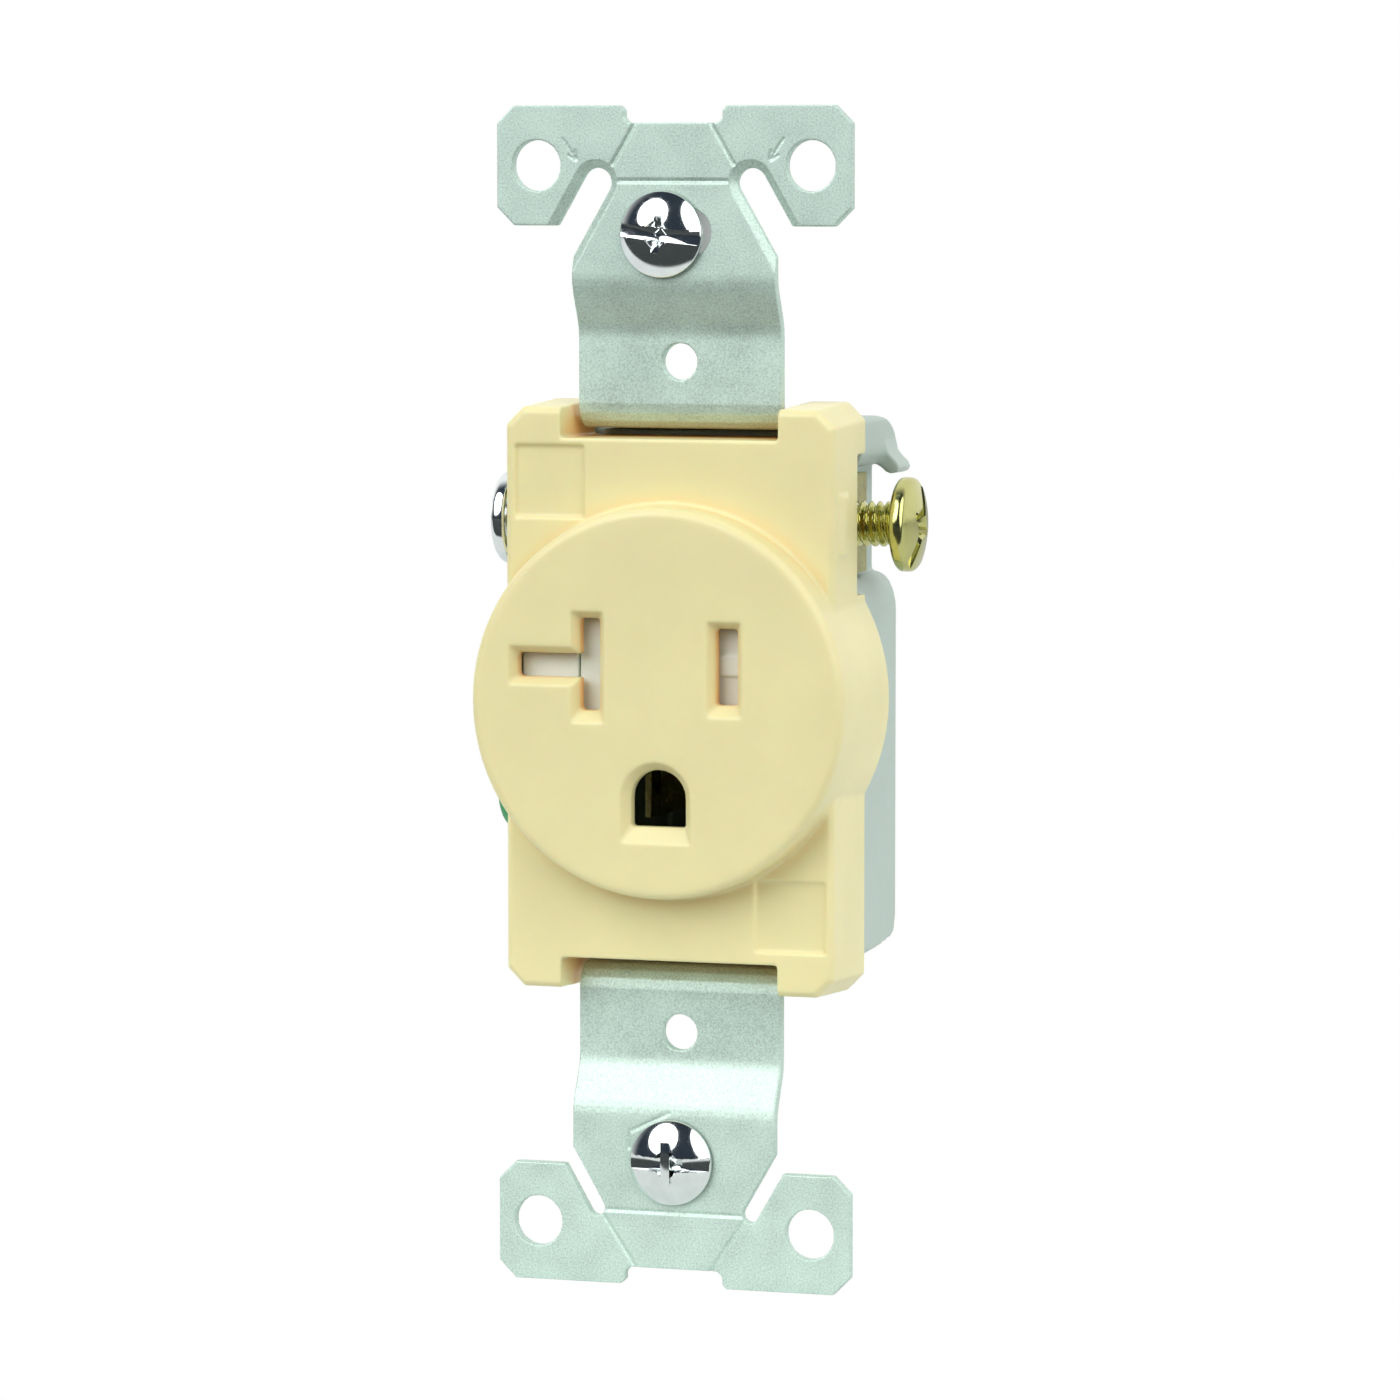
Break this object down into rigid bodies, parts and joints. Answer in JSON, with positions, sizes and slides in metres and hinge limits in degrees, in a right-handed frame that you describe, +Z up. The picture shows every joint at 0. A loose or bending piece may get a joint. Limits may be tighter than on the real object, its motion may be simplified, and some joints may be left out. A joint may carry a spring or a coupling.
{
  "type": "single wall receptacle",
  "caption": "Single 20 A wall receptacle: ivory round-faced cover with shuttered T-slot, grey base, galvanized wrap-around strap with ears, side terminal screws.",
  "frame": {"origin": "centre of the device on the front plane of the strap's ears, midway between the two mounting screws", "axes": "+Z up along the strap (ground hole down), +Y back into the wall box, +X to the right of someone facing the plug face"},
  "size_m": [0.0406, 0.0275, 0.1058],
  "materials": {
    "galvanized": "galvanized, dull grain",
    "cover_ivory": "moulded, satin",
    "base_grey": "moulded, satin",
    "shutter_white": "moulded",
    "contact_brass": "stamped, plain",
    "screw_brass": "plated, bright",
    "screw_bright": "zinc plated, bright",
    "screw_green": "green passivated",
    "washer_nylon": "moulded nylon",
    "spring_steel": "drawn wire"
  },
  "bodies": {
    "device": {"face_cover": "cover_ivory", "base_housing": "base_grey", "mounting_strap": "galvanized", "hot_contact": "contact_brass", "neutral_contact": "contact_brass", "ground_contact": "contact_brass", "shutter_platform": "shutter_white", "shutter_spring": "spring_steel", "assembly_screw_top": "galvanized", "assembly_screw_bottom": "galvanized", "ground_rivet": "galvanized"},
    "slider": {"shutter_slider": "shutter_white"},
    "cross_cover": {"cross_shutter": "shutter_white"},
    "hot_screw": {"hot_terminal_screw": "screw_brass"},
    "neutral_screw": {"neutral_terminal_screw": "screw_bright"},
    "ground_screw": {"ground_terminal_screw": "screw_green"},
    "top_washer": {"retaining_washer_top": "washer_nylon"},
    "bottom_washer": {"retaining_washer_bottom": "washer_nylon"},
    "top_screw": {"mounting_screw_top": "screw_bright"},
    "bottom_screw": {"mounting_screw_bottom": "screw_bright"}
  },
  "joints": [
    {"name": "shutter_slide", "type": "slide", "parent": "device", "child": "slider", "axis": [1, 0, 0], "range_m": [0, 0.0024], "stiffness_N_per_m": 150, "springref_m": -0.003, "deforming": ["shutter_spring"]},
    {"name": "cross_shutter_lift", "type": "slide", "parent": "device", "child": "cross_cover", "axis": [0, 0, 1], "range_m": [0, 0.0025]},
    {"name": "hot_screw_travel", "type": "slide", "parent": "device", "child": "hot_screw", "axis": [1, 0, 0], "range_m": [-0.0042, 0.0005]},
    {"name": "neutral_screw_travel", "type": "slide", "parent": "device", "child": "neutral_screw", "axis": [-1, 0, 0], "range_m": [-0.0044, 0.0005]},
    {"name": "ground_screw_travel", "type": "slide", "parent": "device", "child": "ground_screw", "axis": [-1, 0, 0], "range_m": [-0.0038, 0.0005]},
    {"name": "top_washer_float", "type": "slide", "parent": "device", "child": "top_washer", "axis": [1, 0, 0], "range_m": [-0.00087, 0.00279]},
    {"name": "top_screw_turn", "type": "hinge", "parent": "top_washer", "child": "top_screw", "pos_m": [-0.00096, 0, 0.04152], "axis": [0, 1, 0], "continuous": true},
    {"name": "bottom_washer_float", "type": "slide", "parent": "device", "child": "bottom_washer", "axis": [1, 0, 0], "range_m": [-0.00179, 0.00193]},
    {"name": "bottom_screw_turn", "type": "hinge", "parent": "bottom_washer", "child": "bottom_screw", "pos_m": [-0.00007, 0, -0.04167], "axis": [0, 1, 0], "continuous": true}
  ],
  "couplings": [
    {"joint": "cross_shutter_lift", "follows": "shutter_slide", "ratio": 1.04}
  ]
}
